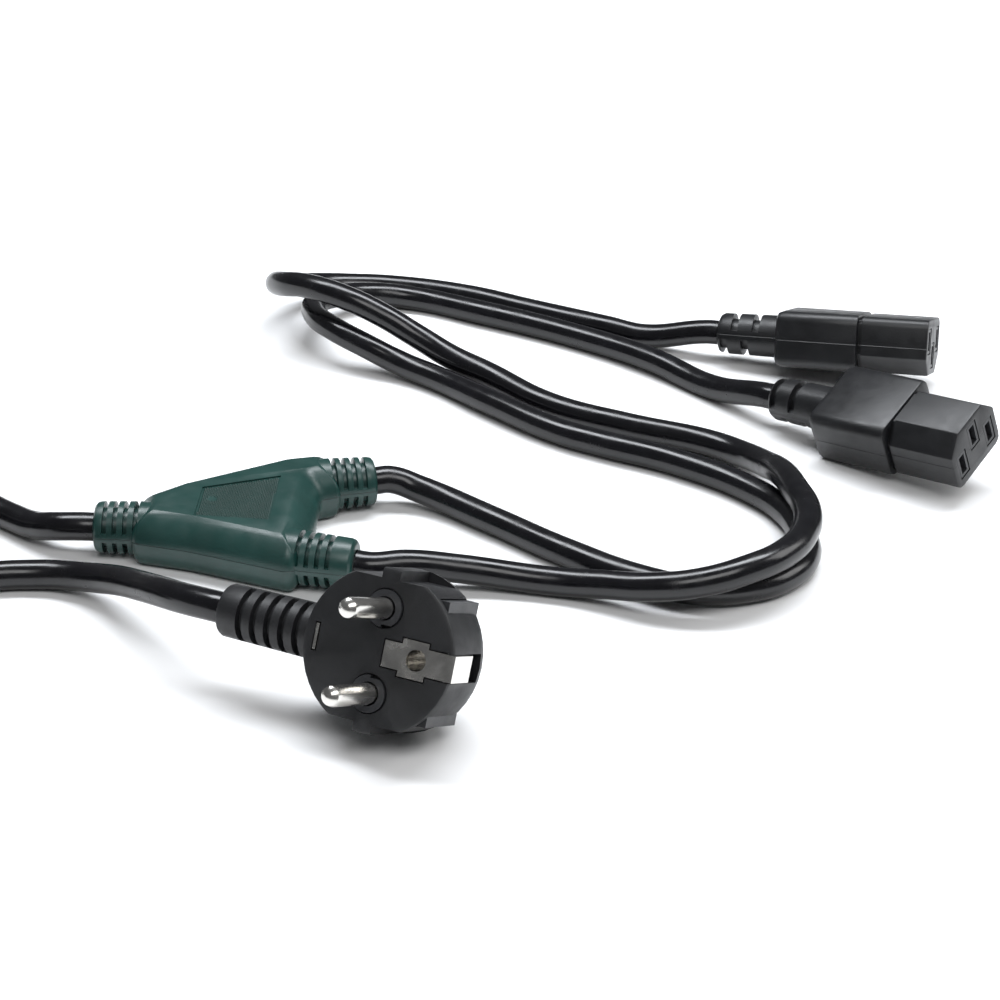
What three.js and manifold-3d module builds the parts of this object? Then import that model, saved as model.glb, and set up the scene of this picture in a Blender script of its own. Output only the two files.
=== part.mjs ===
// Power cord splitter: an angled mains plug, a trunk cord, a moulded Y block and two branch cords
// that each end in an appliance connector.
//
// Millimetres, +Z up. The origin is on the table under the middle of the Y block.
// +X runs from the trunk cord towards the branches, and -Y faces the viewer.
// Every piece is lying on the table (z = 0).

import * as THREE from "three";
import { mergeVertices } from "three/addons/utils/BufferGeometryUtils.js";
import Module from "manifold-3d";

const wasm = await Module();
wasm.setup();

// Clearance between any two pieces that touch, and how far a cutting tool runs past what it cuts.
const clearance = 0.3;
const overrun = 1;

// Round cord and the bore that each strain relief has for its cores.
const cordDiameter = 7.4;
const cordRadius = cordDiameter / 2;
const coreBoreRadius = 2.5;
const cordSides = 8;
const branchSteps = 54;
const leadSteps = 18;
// The tube's facets stay this far off the table where the cord lies on it.
const cordOffTable = 0.2;

// The trunk's unseen length is put away as one flat coil, turns side by side and in layers.
const coil = {
  center: [-121.3, -11.7],
  middleRadius: 37.5,
  turnsAcross: 3,
  layers: 2,
  valley: 1.1,
  segments: 32,
  joinAngle: 70,
};

// Y block. Its outline is drawn at the parting plane, as corners of x, y and radius.
const block = {
  thickness: 14.6,
  outline: [
    [-24.8, -15.6, 3],
    [-9.8, -19.2, 14],
    [18.5, -29.5, 3.5],
    [21.2, -13.6, 3],
    [21.0, 10.6, 3],
    [26.4, 13.2, 2],
    [22.8, 28.8, 3.5],
    [9.5, 24.9, 16],
    [-16.5, 9.2, 14],
    [-25.0, 0.2, 3],
  ],
  // Inset from that outline, and the share of the half thickness at which it is reached.
  edge: [
    [0, 0.04],
    [0.5, 0.28],
    [1.5, 0.52],
    [2.8, 0.72],
    [4.2, 0.88],
    [5.6, 1],
  ],
  patch: [
    [-8.6, -13.4, 0.8],
    [10.4, -14.6, 0.8],
    [10.9, 10.0, 0.8],
    [-8.4, 2.2, 0.8],
  ],
  patchDepth: 0.35,
};

// Strain reliefs of the Y block: where the axis leaves the body, its heading, and the sizes.
const blockRelief = {
  height: 7.3,
  slotWidth: 1.3,
  slotPitch: 2.9,
  coreRadius: 5,
  band: 2.4,
  endRound: 0.8,
};
const trunkRelief = { at: [-23.5, -7.5], heading: 180, length: 11.8, baseRadius: 6.85, endRadius: 6.5, slots: 3 };
const upperRelief = { at: [22.6, 20.2], heading: 14, length: 12, baseRadius: 6.95, endRadius: 6.35, slots: 3 };
const lowerRelief = { at: [17.6, -20.5], heading: -11, length: 15.2, baseRadius: 6.95, endRadius: 6.35, slots: 4 };

// Splice carrier inside the Y block and its three sleeves.
const splice = { carrierHeight: 6.4, sleeveRadius: 2.1, sleeveBore: 1.3, sleeveLength: 17, spacing: 6.2, at: [-6, -3] };

// Appliance connector, in its own frame: x out of the face, z towards the earth side.
const connector = {
  faceWidth: 22.6,
  faceHeight: 16.5,
  chamfer: 5.1,
  lowerRadius: 2.5,
  cornerRadius: 0.8,
  engagingLength: 19.4,
  grooveWidth: 1.2,
  grooveDepth: 0.9,
  bodyWidth: 24.8,
  bodyHeight: 16.8,
  bodyLength: 24.7,
  bodyRadius: 3,
  rearRounding: 2.2,
  frontWall: 1.2,
};
const connectorRelief = {
  length: 19.2,
  baseRadius: 6.45,
  endRadius: 6.15,
  coreRadius: 4.5,
  slots: 2,
  firstSlot: 9.2,
  slotWidth: 2.2,
  slotPitch: 6.5,
  band: 2.6,
  endRound: 1.6,
};

// Contact slots in the connector's face: centre in y and z, from the face's middle.
const slot = { width: 2.4, height: 5.5, frame: 0.8 };
const slotCenters = {
  line: [-7, -1.94],
  neutral: [7, -1.94],
  earth: [0, 2.56],
};
const carrier = { halfWidth: 10, below: 6.6, above: 6.8, chamfer: 4.4, length: 27, bossSetBack: 0.15 };
const contact = { thickness: 0.5, length: 15, setBack: 3.4, tailRadius: 1.3, tailLength: 9 };

// Mains plug, in its own frame: x out of the face along the pins, y towards the earth hole.
const plug = {
  radius: 18.5,
  faceEdge: 0.8,
  cylinderDepth: 14.5,
  depth: 25,
  segments: 40,
  notchFlat: 16,
  notchInner: 2.2,
  notchOuter: 9.4,
  notchDepth: 14.5,
};
const pin = { radius: 2.4, length: 19, spacing: 19, rootLength: 9, collarRadius: 4.2, collarHeight: 0.5 };
const earthClip = {
  halfWidth: 2.95,
  thickness: 0.7,
  innerEnd: 1.6,
  holeAt: 9.66,
  holeRadius: 2.4,
  flangeReach: 4.2,
  flangeFrom: 5.8,
  flangeTo: 12.2,
  sideDepth: 9,
  tabFrom: -15.6,
};
const earthSlotDepth = 14.6;
const plugRelief = {
  axisDepth: 8,
  start: 10,
  end: 42.6,
  baseRadius: 6.5,
  endRadius: 6.2,
  coreRadius: 4.5,
  slots: 5,
  firstSlot: 11.5,
  slotWidth: 1.6,
  slotPitch: 3.7,
  band: 2.4,
  endRound: 0.8,
};
const pinBridge = { halfHeight: 13.9, from: -6.4, to: 14.2, length: 15.4, faceWall: 1.4 };
const crimp = { radius: 1.9, bore: 1.1, length: 5.8 };

// How each end lies: face centre in x and y, then heading, nose up and roll in degrees.
// The height follows from the piece resting on the table.
const plugPose = { at: [41.8, -92.5], heading: -116.3, noseUp: 26.6, roll: 1.9 };
const connectorAPose = { at: [194.9, 38.1], heading: -40.7, noseUp: 6.7, roll: 22.1 };
const connectorBPose = { at: [194.3, 107.3], heading: -18.2, noseUp: 5.2, roll: 162.4 };

// Cord routes between their two ends: x, y, and how far the cord is off the table, in cord diameters.
const branchARoute = [
  [46, 23, 0.2], [66, 9, 0], [85, -7.5, 0], [105, -22, 0.05], [117.5, -26, 0.05], [130, -24, 0.05],
  [140, -17, 0], [146, -6, 0], [146, 7, 0], [143, 19, 0], [136, 30, 0], [117, 46, 0], [95, 57.5, 0],
  [84, 64, 0], [65, 81, 0.05], [48, 98.5, 0], [37, 106, 0.15], [26, 111, 0.6], [16, 118, 0.9],
  [10, 128.5, 0.85], [9, 141, 0.7], [14.5, 152, 0.45], [24.5, 159, 0.2], [37, 160.5, 0], [60, 150, 0],
  [92.5, 131.5, 0], [112, 116, 0.05], [129.5, 97.5, 0],
];
const branchBRoute = [
  [45, -23, 0.5], [57, -21, 0.25], [82, -23, 0], [94, -26.5, 0.2], [105.5, -31, 0.5], [117.5, -32, 0.8],
  [129, -28, 1.05], [138.5, -20, 1.1], [144.5, -9, 1.1], [146.5, 3, 1.15], [144.5, 15.5, 1.15],
  [142.5, 27.5, 0.95], [139.5, 39.5, 0.5], [134.5, 50.5, 0.15], [125.5, 59, 0.05], [103, 69.5, 0],
  [81, 82, 0], [62.5, 98, 0.3], [52, 105, 0.55], [41.5, 110.5, 1.1], [30.5, 114, 1.8], [19.5, 117.5, 2.3],
  [8.5, 123.5, 2.4], [0, 132.5, 2], [-3, 143.5, 1.4], [-0.5, 154.5, 0.75], [7, 164, 0.3], [18, 169, 0.05],
  [30.5, 169.5, 0], [54.5, 163.5, 0], [77, 152, 0], [99, 140, 0.05], [110.5, 135, 0],
];
const blockLeadRoute = [
  [-44, -3, 0.15], [-54.5, 2.5, 0], [-66, 9.5, 0], [-78.5, 21, 0], [-90.5, 31.5, 0],
];
const plugLeadRoute = [
  [-1.5, -55, 1.65], [-13, -43.5, 1], [-24, -35, 0.45], [-34.5, -30.5, 0.15], [-45, -27.5, 0],
  [-60, -29.5, 0], [-72, -39, 0], [-84, -50, 0], [-92, -56, 0],
];

const looks = {
  overmould: { color: 0x17181a, roughness: 0.55, metalness: 0 },
  cord: { color: 0x0e0e10, roughness: 0.28, metalness: 0 },
  green: { color: 0x26524c, roughness: 0.45, metalness: 0 },
  carrier: { color: 0x222326, roughness: 0.5, metalness: 0 },
  inner: { color: 0xd8d6cc, roughness: 0.6, metalness: 0 },
  nickel: { color: 0xc9c8c4, roughness: 0.22, metalness: 1 },
  brass: { color: 0xb8954a, roughness: 0.35, metalness: 1 },
};

// A closed solid from a three.js geometry, whichever way its faces were wound.
function solidFrom(geometry) {
  const bare = new THREE.BufferGeometry();
  bare.setAttribute("position", geometry.getAttribute("position"));
  bare.setIndex(geometry.getIndex());
  const merged = mergeVertices(bare, 1e-4);
  const index = merged.getIndex().array;
  const faces = [];
  for (let i = 0; i < index.length; i += 3) {
    const [a, b, c] = [index[i], index[i + 1], index[i + 2]];
    if (a !== b && b !== c && c !== a) faces.push([a, b, c]);
  }
  const build = (triangles) =>
    new wasm.Manifold(
      new wasm.Mesh({
        numProp: 3,
        vertProperties: Float32Array.from(merged.getAttribute("position").array),
        triVerts: Uint32Array.from(triangles.flat()),
      }),
    );
  const solid = build(faces);
  return solid.volume() < 0 ? build(faces.map(([a, b, c]) => [a, c, b])) : solid;
}

function geometryFrom(solid) {
  const mesh = solid.getMesh();
  const positions = new Float32Array(mesh.numVert * 3);
  for (let i = 0; i < mesh.numVert; i++) {
    positions.set(mesh.vertProperties.subarray(i * mesh.numProp, i * mesh.numProp + 3), i * 3);
  }
  const indexed = new THREE.BufferGeometry();
  indexed.setAttribute("position", new THREE.BufferAttribute(positions, 3));
  indexed.setIndex(new THREE.BufferAttribute(mesh.triVerts, 1));
  const geometry = indexed.toNonIndexed();
  geometry.computeVertexNormals();
  return geometry;
}

const join = (...solids) => solids.reduce((all, one) => all.add(one));
const cut = (body, ...tools) => tools.reduce((left, tool) => left.subtract(tool), body);
const common = (...solids) => solids.reduce((all, one) => all.intersect(one));

// The same solid moved by a three.js matrix.
function moved(solid, matrix) {
  return solidFrom(geometryFrom(solid).applyMatrix4(matrix));
}

function radians(degrees) {
  return THREE.MathUtils.degToRad(degrees);
}

function boxBetween(low, high) {
  const geometry = new THREE.BoxGeometry(high[0] - low[0], high[1] - low[1], high[2] - low[2]);
  geometry.translate((low[0] + high[0]) / 2, (low[1] + high[1]) / 2, (low[2] + high[2]) / 2);
  return solidFrom(geometry);
}

// A turned solid about z. The profile lists radius and height.
function turned(profile, segments = 24) {
  const points = profile.map(([radius, height]) => new THREE.Vector2(radius, height));
  const geometry = new THREE.LatheGeometry(points, segments);
  geometry.rotateX(Math.PI / 2);
  return solidFrom(geometry);
}

function rod(radius, from, to, segments = 20) {
  return turned([[0, from], [radius, from], [radius, to], [0, to]], segments);
}

const zToX = new THREE.Matrix4().makeRotationY(Math.PI / 2);
const zToMinusY = new THREE.Matrix4().makeRotationX(Math.PI / 2);
// Turns a section drawn in x and y, and stacked along z, into one in y and z stacked along x.
const sectionAlongX = new THREE.Matrix4().makeBasis(
  new THREE.Vector3(0, 1, 0),
  new THREE.Vector3(0, 0, 1),
  new THREE.Vector3(1, 0, 0),
);

// Corners of x, y and radius, listed counter-clockwise, as a rounded outline moved in by inset.
// Every inset gives the same number of points, so outlines can be stacked.
function roundedOutline(corners, inset = 0, arcSteps = 3) {
  const count = corners.length;
  const edges = corners.map(([x, y], i) => {
    const [nextX, nextY] = corners[(i + 1) % count];
    const direction = new THREE.Vector2(nextX - x, nextY - y).normalize();
    const inward = new THREE.Vector2(-direction.y, direction.x);
    return { direction, start: new THREE.Vector2(x, y).addScaledVector(inward, inset) };
  });
  const outline = [];
  corners.forEach(([, , radius], i) => {
    const before = edges[(i + count - 1) % count];
    const after = edges[i];
    const turn = before.direction.cross(after.direction);
    const along = after.start.clone().sub(before.start).cross(after.direction) / turn;
    const corner = before.start.clone().addScaledVector(before.direction, along);
    const angle = Math.atan2(turn, before.direction.dot(after.direction));
    const bend = angle > 0 ? Math.max(radius - inset, 0.3) : radius + inset * 0.3;
    const reach = bend * Math.tan(Math.abs(angle) / 2);
    const start = corner.clone().addScaledVector(before.direction, -reach);
    const side = new THREE.Vector2(-before.direction.y, before.direction.x);
    const center = start.clone().addScaledVector(side, Math.sign(angle) * bend);
    for (let step = 0; step <= arcSteps; step++) {
      outline.push(start.clone().rotateAround(center, (angle * step) / arcSteps));
    }
  });
  return outline;
}

// Stacks outlines with the same number of points along z and closes both ends.
function stacked(levels) {
  const size = levels[0].outline.length;
  const positions = levels.flatMap(({ outline, at }) => outline.flatMap(({ x, y }) => [x, y, at]));
  const index = [];
  for (let level = 0; level + 1 < levels.length; level++) {
    for (let i = 0; i < size; i++) {
      const a = level * size + i;
      const b = level * size + ((i + 1) % size);
      index.push(a, b, b + size, a, b + size, a + size);
    }
  }
  const top = (levels.length - 1) * size;
  THREE.ShapeUtils.triangulateShape(levels[0].outline, []).forEach(([a, b, c]) => index.push(a, c, b));
  THREE.ShapeUtils.triangulateShape(levels.at(-1).outline, []).forEach(([a, b, c]) => {
    index.push(top + a, top + b, top + c);
  });
  const geometry = new THREE.BufferGeometry();
  geometry.setAttribute("position", new THREE.Float32BufferAttribute(positions, 3));
  geometry.setIndex(index);
  return solidFrom(geometry);
}

// A straight prism of rounded corners. steps lists inset and height.
function prism(corners, steps, arcSteps = 3) {
  return stacked(steps.map(([inset, at]) => ({ outline: roundedOutline(corners, inset, arcSteps), at })));
}

function rectangle(width, height, radius) {
  return [
    [-width / 2, -height / 2, radius],
    [width / 2, -height / 2, radius],
    [width / 2, height / 2, radius],
    [-width / 2, height / 2, radius],
  ];
}

// A strain relief about z, from z = 0 up, slotted on its +x and -x sides. The plain band that
// joins the rings lies on the +y and -y sides. With staggered, the two sides' slots alternate.
function reliefSolid(sizes, staggered = false) {
  const { length, baseRadius, endRadius, endRound } = sizes;
  const cone = turned([
    [0, 0],
    [baseRadius, 0],
    [endRadius, length - endRound],
    [endRadius - endRound * 0.35, length - endRound * 0.3],
    [endRadius - endRound, length],
    [0, length],
  ]);
  const beyond = baseRadius + overrun;
  const slotRing = (at) =>
    cut(
      rod(beyond, at - sizes.slotWidth / 2, at + sizes.slotWidth / 2, 24),
      rod(sizes.coreRadius, at - sizes.slotWidth, at + sizes.slotWidth, 24),
    );
  const sides = [1, -1].flatMap((side) => {
    const half = side > 0 ? [sizes.band / 2, beyond] : [-beyond, -sizes.band / 2];
    const keepSide = boxBetween([half[0], -beyond, -overrun], [half[1], beyond, length + overrun]);
    const shift = staggered && side < 0 ? sizes.slotPitch / 2 : 0;
    return Array.from({ length: sizes.slots }, (_, i) => {
      const at = sizes.firstSlot + shift + i * sizes.slotPitch;
      return common(slotRing(at), keepSide);
    });
  });
  return cut(cone, ...sides);
}

// A cord along smooth points, closed at both ends.
function cordSolid(points, steps) {
  const path = new THREE.CatmullRomCurve3(points, false, "centripetal");
  const shape = new THREE.Shape();
  for (let i = 0; i < cordSides; i++) {
    const angle = (2 * Math.PI * i) / cordSides;
    shape[i ? "lineTo" : "moveTo"](cordRadius * Math.cos(angle), cordRadius * Math.sin(angle));
  }
  const geometry = new THREE.ExtrudeGeometry(shape, { steps, extrudePath: path, bevelEnabled: false });
  return solidFrom(geometry);
}

const splitter = new THREE.Group();
splitter.name = "power_cord_splitter";

function addNode(parent, name, solid, look) {
  const mesh = new THREE.Mesh(geometryFrom(solid), new THREE.MeshStandardMaterial(looks[look]));
  mesh.name = name;
  parent.add(mesh);
  return mesh;
}

// A group that lies with its face centre at the pose's place and its lowest point on the table.
function layDown(group, pose) {
  group.rotation.set(radians(pose.roll), -radians(pose.noseUp), radians(pose.heading), "ZYX");
  group.position.set(pose.at[0], pose.at[1], 0);
  group.updateMatrixWorld(true);
  const lowest = new THREE.Box3().setFromObject(group, true).min.z;
  group.position.z = -lowest;
  group.updateMatrixWorld(true);
  splitter.add(group);
}

// Where a cord meets a relief: the middle of its end face, and the outward direction.
function reliefExit(matrix, at, direction) {
  const outward = new THREE.Vector3(...direction).transformDirection(matrix);
  const point = new THREE.Vector3(...at).applyMatrix4(matrix);
  return { point: point.addScaledVector(outward, clearance), outward };
}

// Y block

const blockHalf = block.thickness / 2;
const blockSteps = (shrink) => {
  const upper = block.edge.map(([inset, share]) => [inset + shrink, blockHalf + share * (blockHalf - shrink)]);
  const lower = block.edge.map(([inset, share]) => [inset + shrink, blockHalf - share * (blockHalf - shrink)]);
  return [...lower.reverse(), ...upper];
};

function blockReliefPlacement(relief) {
  const turn = new THREE.Matrix4().makeRotationZ(radians(relief.heading));
  const place = new THREE.Matrix4().makeTranslation(relief.at[0], relief.at[1], blockRelief.height);
  return place.multiply(turn);
}

// The relief's own frame stands along z. Here it lies along x, slotted above and below.
const lieAlongX = new THREE.Matrix4().makeBasis(
  new THREE.Vector3(0, 0, 1),
  new THREE.Vector3(0, 1, 0),
  new THREE.Vector3(1, 0, 0),
);

function blockReliefSolid(relief) {
  const rootLength = 4;
  const sizes = {
    ...blockRelief,
    ...relief,
    length: relief.length + rootLength,
    firstSlot: rootLength + relief.length - 2.2 - (relief.slots - 1) * blockRelief.slotPitch,
  };
  const laid = moved(reliefSolid(sizes), lieAlongX);
  const back = new THREE.Matrix4().makeTranslation(-rootLength, 0, 0);
  return moved(laid, blockReliefPlacement(relief).multiply(back));
}

function blockBore(relief) {
  const bore = moved(rod(coreBoreRadius, -14, relief.length + overrun), zToX);
  return moved(bore, blockReliefPlacement(relief));
}

const blockReliefs = [trunkRelief, upperRelief, lowerRelief];
const carrierHalf = splice.carrierHeight / 2;
const carrierCorners = [
  [-17, -11.5, 1.5],
  [12, -20.5, 1.5],
  [15, -10, 1.5],
  [15, 11, 1.5],
  [12, 17.5, 1.5],
  [-17, 1, 1.5],
];
const cavity = prism(carrierCorners, [
  [-clearance, blockHalf - carrierHalf - clearance],
  [-clearance, blockHalf + carrierHalf + clearance],
]);
const blockShell = join(prism(block.outline, blockSteps(0)), ...blockReliefs.map(blockReliefSolid));
const patchRecess = prism(block.patch, [
  [0, block.thickness - block.patchDepth],
  [0, block.thickness + overrun],
]);
const blockHousing = cut(blockShell, cavity, patchRecess, ...blockReliefs.map(blockBore));
addNode(splitter, "y_housing", blockHousing, "green");

const sleeveNames = ["line", "neutral", "earth"];
const sleevePlace = (i) =>
  new THREE.Matrix4().makeTranslation(splice.at[0], splice.at[1] + (i - 1) * splice.spacing, blockHalf);
const sleeveBed = (i) =>
  moved(moved(rod(splice.sleeveRadius + clearance, -overrun, 30), zToX), sleevePlace(i));
const sleeveExit = (i) =>
  moved(moved(rod(splice.sleeveRadius - 0.6, -14, 0), zToX), sleevePlace(i));
const core = prism(carrierCorners, [
  [0, blockHalf - carrierHalf],
  [0, blockHalf + carrierHalf],
]);
addNode(splitter, "y_core", cut(core, ...[0, 1, 2].map(sleeveBed), ...[0, 1, 2].map(sleeveExit)), "carrier");
sleeveNames.forEach((name, i) => {
  const sleeve = cut(
    rod(splice.sleeveRadius, 0, splice.sleeveLength, 16),
    rod(splice.sleeveBore, -overrun, splice.sleeveLength + overrun, 16),
  );
  const laid = moved(moved(sleeve, zToX), sleevePlace(i));
  addNode(splitter, "y_splice_" + name, laid, "brass");
});

// Appliance connectors

const faceCorners = (() => {
  const { faceWidth, faceHeight, chamfer, lowerRadius, cornerRadius } = connector;
  const side = faceWidth / 2;
  const half = faceHeight / 2;
  return [
    [-side, -half, lowerRadius],
    [side, -half, lowerRadius],
    [side, half - chamfer, cornerRadius],
    [side - chamfer, half, cornerRadius],
    [chamfer - side, half, cornerRadius],
    [-side, half - chamfer, cornerRadius],
  ];
})();

function carrierOutline(extra) {
  const { halfWidth, below, above, chamfer } = carrier;
  return [
    [-halfWidth - extra, -below - extra, 0.5],
    [halfWidth + extra, -below - extra, 0.5],
    [halfWidth + extra, above - chamfer, 0.5],
    [halfWidth - chamfer, above + extra, 0.5],
    [chamfer - halfWidth, above + extra, 0.5],
    [-halfWidth - extra, above - chamfer, 0.5],
  ];
}

// A box centred on a contact slot, grown by a margin on every side.
function slotBox([y, z], margin, from, to) {
  const wide = slot.width / 2 + margin;
  const high = slot.height / 2 + margin;
  return boxBetween([from, y - wide, z - high], [to, y + wide, z + high]);
}

const grooveBack = -connector.engagingLength - connector.grooveWidth;
const bodyBack = grooveBack - connector.bodyLength;
const carrierFront = -connector.frontWall - clearance;
const carrierBack = carrierFront - carrier.length;
const contactSpace = 0.35;

function connectorHousing() {
  const engaging = moved(
    prism(faceCorners, [[0, -connector.engagingLength], [0, -0.5], [0.15, -0.15], [0.5, 0]]),
    sectionAlongX,
  );
  const neck = moved(
    prism(faceCorners, [
      [connector.grooveDepth, grooveBack - overrun],
      [connector.grooveDepth, -connector.engagingLength + overrun],
    ]),
    sectionAlongX,
  );
  const drop = (connector.faceHeight - connector.bodyHeight) / 2;
  const bodyCorners = rectangle(connector.bodyWidth, connector.bodyHeight, connector.bodyRadius)
    .map(([y, z, radius]) => [y, z + drop, radius]);
  const round = connector.rearRounding;
  const body = moved(
    prism(bodyCorners, [
      [round, bodyBack],
      [round * 0.3, bodyBack + round * 0.3],
      [0, bodyBack + round],
      [0, grooveBack - 0.7],
      [0.2, grooveBack - 0.2],
      [0.7, grooveBack],
    ], 4),
    sectionAlongX,
  );
  const rootLength = 2;
  const relief = reliefSolid(
    { ...connectorRelief, length: connectorRelief.length + rootLength, firstSlot: connectorRelief.firstSlot },
    true,
  );
  // Standing along z, the relief is laid along -x with its band level.
  const lay = new THREE.Matrix4().makeBasis(
    new THREE.Vector3(0, 0, -1),
    new THREE.Vector3(0, 1, 0),
    new THREE.Vector3(-1, 0, 0),
  );
  lay.setPosition(bodyBack + rootLength, 0, 0);
  const pocket = moved(
    prism(carrierOutline(clearance), [[0, carrierBack - clearance], [0, -connector.frontWall]]),
    sectionAlongX,
  );
  const windows = Object.values(slotCenters).map((center) =>
    slotBox(center, slot.frame + clearance, -connector.frontWall - overrun, overrun),
  );
  const channel = moved(rod(5, bodyBack + 5, carrierBack + overrun), zToX);
  const bore = moved(rod(coreBoreRadius, bodyBack - connectorRelief.length - overrun, bodyBack + 6), zToX);
  return cut(join(engaging, neck, body, moved(relief, lay)), pocket, channel, bore, ...windows);
}

function connectorInsert() {
  const block = moved(prism(carrierOutline(0), [[0, carrierBack], [0, carrierFront]]), sectionAlongX);
  const bosses = Object.values(slotCenters).map((center) =>
    slotBox(center, slot.frame, carrierFront - overrun, -carrier.bossSetBack),
  );
  const openings = Object.values(slotCenters).map((center) =>
    slotBox(center, 0, carrierFront - overrun * 3, overrun),
  );
  const chambers = Object.values(slotCenters).map((center) =>
    slotBox(center, contactSpace + clearance, -contact.setBack - contact.length - clearance, -contact.setBack + clearance),
  );
  const tailBores = Object.values(slotCenters).map(([y, z]) =>
    moved(moved(rod(contact.tailRadius + clearance, carrierBack - overrun, -contact.setBack - contact.length), zToX),
      new THREE.Matrix4().makeTranslation(0, y, z)),
  );
  return cut(join(block, ...bosses), ...openings, ...chambers, ...tailBores);
}

// A contact is a folded strip: two leaves joined at the back, with a round crimp tail.
function contactSolid([y, z]) {
  const front = -contact.setBack;
  const back = front - contact.length;
  const outer = slotBox([y, z], contactSpace, back, front);
  const wide = slot.width / 2 + contactSpace - contact.thickness;
  const high = slot.height / 2 + contactSpace + overrun;
  const inside = boxBetween([back + 1.2, y - wide, z - high], [front + overrun, y + wide, z + high]);
  const tail = moved(
    moved(rod(contact.tailRadius, back - contact.tailLength, back + 0.6, 14), zToX),
    new THREE.Matrix4().makeTranslation(0, y, z),
  );
  return join(cut(outer, inside), tail);
}

function addConnector(name, pose) {
  const group = new THREE.Group();
  group.name = name;
  addNode(group, name + "_housing", connectorHousing(), "overmould");
  addNode(group, name + "_insert", connectorInsert(), "carrier");
  for (const [wire, center] of Object.entries(slotCenters)) {
    addNode(group, name + "_contact_" + wire, contactSolid(center), wire === "earth" ? "nickel" : "brass");
  }
  layDown(group, pose);
  return reliefExit(group.matrixWorld, [bodyBack - connectorRelief.length, 0, 0], [-1, 0, 0]);
}

const connectorAExit = addConnector("connector_a", connectorAPose);
const connectorBExit = addConnector("connector_b", connectorBPose);

// Mains plug

const faceSegments = plug.segments;
const pinBack = -pinBridge.faceWall - clearance - pin.rootLength;
const pinPlace = (side) => new THREE.Matrix4().makeTranslation(0, 0, (side * pin.spacing) / 2);
const bridgeFront = -pinBridge.faceWall - clearance;
const bridgeBack = bridgeFront - pinBridge.length;
const socket = { wall: 0.6, length: 12 };
const holePlace = new THREE.Matrix4().makeTranslation(0, earthClip.holeAt, 0);

function plugBody() {
  const { radius, faceEdge, cylinderDepth, depth } = plug;
  const dome = depth - cylinderDepth;
  return moved(
    turned([
      [0, -depth],
      [radius * 0.42, -depth],
      [radius * 0.62, -depth + dome * 0.1],
      [radius * 0.79, -depth + dome * 0.29],
      [radius * 0.92, -depth + dome * 0.56],
      [radius * 0.985, -depth + dome * 0.82],
      [radius, -cylinderDepth],
      [radius, -faceEdge],
      [radius - faceEdge * 0.3, -faceEdge * 0.3],
      [radius - faceEdge, 0],
      [0, 0],
    ], faceSegments),
    zToX,
  );
}

function plugReliefSolid() {
  const length = plugRelief.end - plugRelief.start;
  const lay = new THREE.Matrix4().makeBasis(
    new THREE.Vector3(1, 0, 0),
    new THREE.Vector3(0, 0, 1),
    new THREE.Vector3(0, -1, 0),
  );
  lay.setPosition(-plugRelief.axisDepth, -plugRelief.start, 0);
  return moved(reliefSolid({ ...plugRelief, length }), lay);
}

// The earth clip's strip lies on the face, rolls over the rim and runs down the side.
function clipStrip(extra) {
  const t = earthClip.thickness;
  const wide = earthClip.halfWidth + extra;
  const rim = plug.radius;
  const plate = boxBetween([-t - extra, earthClip.innerEnd - extra, -wide], [extra, rim + 0.3, wide]);
  const side = boxBetween([-earthClip.sideDepth - extra, rim - t + 0.3 - extra, -wide], [extra, rim + 0.3 + extra, wide]);
  const flanges = boxBetween(
    [-t - extra, earthClip.flangeFrom - extra, -earthClip.flangeReach - extra],
    [extra, earthClip.flangeTo + extra, earthClip.flangeReach + extra],
  );
  return join(plate, side, flanges);
}

function earthClipSolid() {
  // The far contact shows only as a tab on the face; a bridge under the face joins it to the strip.
  const t = earthClip.thickness;
  const w = earthClip.halfWidth;
  const bridgeX = bridgeFront - pinBridge.length - clearance;
  const spine = boxBetween([bridgeX - t, earthClip.tabFrom, -w * 0.6], [bridgeX, 15.6, w * 0.6]);
  const farLeg = boxBetween([bridgeX - t, earthClip.tabFrom, -w], [0.05, earthClip.tabFrom + t, w]);
  const nearLeg = boxBetween([bridgeX - t, 15.6 - t, -w * 0.6], [-0.1, 15.6, w * 0.6]);
  const hole = moved(moved(rod(earthClip.holeRadius, -3, overrun), zToX), holePlace);
  return cut(join(clipStrip(0), spine, farLeg, nearLeg), hole);
}

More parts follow.
